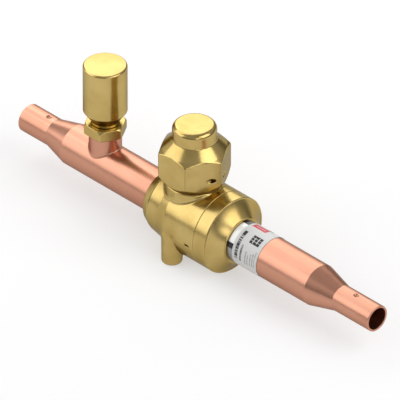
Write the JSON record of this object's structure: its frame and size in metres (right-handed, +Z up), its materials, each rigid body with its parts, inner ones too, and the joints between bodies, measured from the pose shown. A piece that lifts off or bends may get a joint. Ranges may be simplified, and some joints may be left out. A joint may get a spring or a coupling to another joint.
{
  "type": "shut-off ball valve",
  "caption": "Brass ball valve with hexagonal seal cap, capped access port and copper tube ends drawn down to solder sockets.",
  "frame": {"origin": "under the stem axis, in the plane of the two tapped mounting feet, midway between them", "axes": "+X along the pipe away from the access port, +Z up along the stem, +Y across the valve"},
  "size_m": [0.2019, 0.035, 0.0659],
  "materials": {
    "forged_brass": "satin, fine machined on the turned bands",
    "cap_brass": "bright turned and polished",
    "copper": "copper, smooth drawn tube",
    "steel": "turned steel",
    "chrome_ball": "chrome plated and polished",
    "seat_plastic": "white fluoroplastic",
    "seal_rubber": "black rubber",
    "gasket_copper": "soft copper",
    "foil": "bright silver foil",
    "label_paper": "printed label film"
  },
  "bodies": {
    "valve": {"valve_body": "forged_brass", "end_closure": "forged_brass", "closure_oring": "seal_rubber", "left_tube": "copper", "right_tube": "copper", "seat_left": "seat_plastic", "seat_right": "seat_plastic", "seat_backing_left": "seal_rubber", "seat_backing_right": "seal_rubber", "thrust_washer": "seat_plastic", "packing_ring": "seat_plastic", "gland_nut": "cap_brass", "stop_pin": "steel", "access_stub": "copper", "access_fitting": "cap_brass", "core_body": "cap_brass", "core_gasket": "seat_plastic", "label_foil": "foil", "label_panel": "label_paper"},
    "stem_and_ball": {"ball": "chrome_ball", "stem": "steel", "stem_oring_lower": "seal_rubber", "stem_oring_upper": "seal_rubber", "stop_plate": "steel", "stem_clip": "steel"},
    "seal_cap_gasket": {"seal_cap_gasket": "gasket_copper"},
    "seal_cap": {"seal_cap": "cap_brass"},
    "access_cap_seal": {"access_cap_seal": "seal_rubber"},
    "access_cap": {"access_cap": "cap_brass"},
    "core_pin": {"core_pin": "steel", "core_seal": "seal_rubber", "core_spring": "steel"}
  },
  "joints": [
    {"name": "quarter_turn", "type": "hinge", "parent": "valve", "child": "stem_and_ball", "pos_m": [0, 0, 0.0172], "axis": [0, 0, 1], "range_deg": [0, 90]},
    {"name": "seal_cap_lift", "type": "slide", "parent": "valve", "child": "seal_cap_gasket", "axis": [0, 0, 1], "range_m": [0, 0.0075]},
    {"name": "seal_cap_turn", "type": "hinge", "parent": "seal_cap_gasket", "child": "seal_cap", "pos_m": [0, 0, 0.0372], "axis": [0, 0, 1], "range_deg": [0, 1801]},
    {"name": "access_cap_lift", "type": "slide", "parent": "valve", "child": "access_cap_seal", "axis": [0, 0, 1], "range_m": [0, 0.00762]},
    {"name": "access_cap_turn", "type": "hinge", "parent": "access_cap_seal", "child": "access_cap", "pos_m": [-0.0519, 0, 0.0472], "axis": [0, 0, 1], "range_deg": [0, 2161]},
    {"name": "core_pin_press", "type": "slide", "parent": "valve", "child": "core_pin", "axis": [0, 0, -1], "range_m": [0, 0.0015], "stiffness_N_per_m": 250, "springref_m": -0.0012, "deforming": ["core_spring"]}
  ],
  "couplings": [
    {"joint": "seal_cap_turn", "follows": "seal_cap_lift", "rad_per_m": 4188.8},
    {"joint": "access_cap_turn", "follows": "access_cap_lift", "rad_per_m": 4947.4}
  ]
}
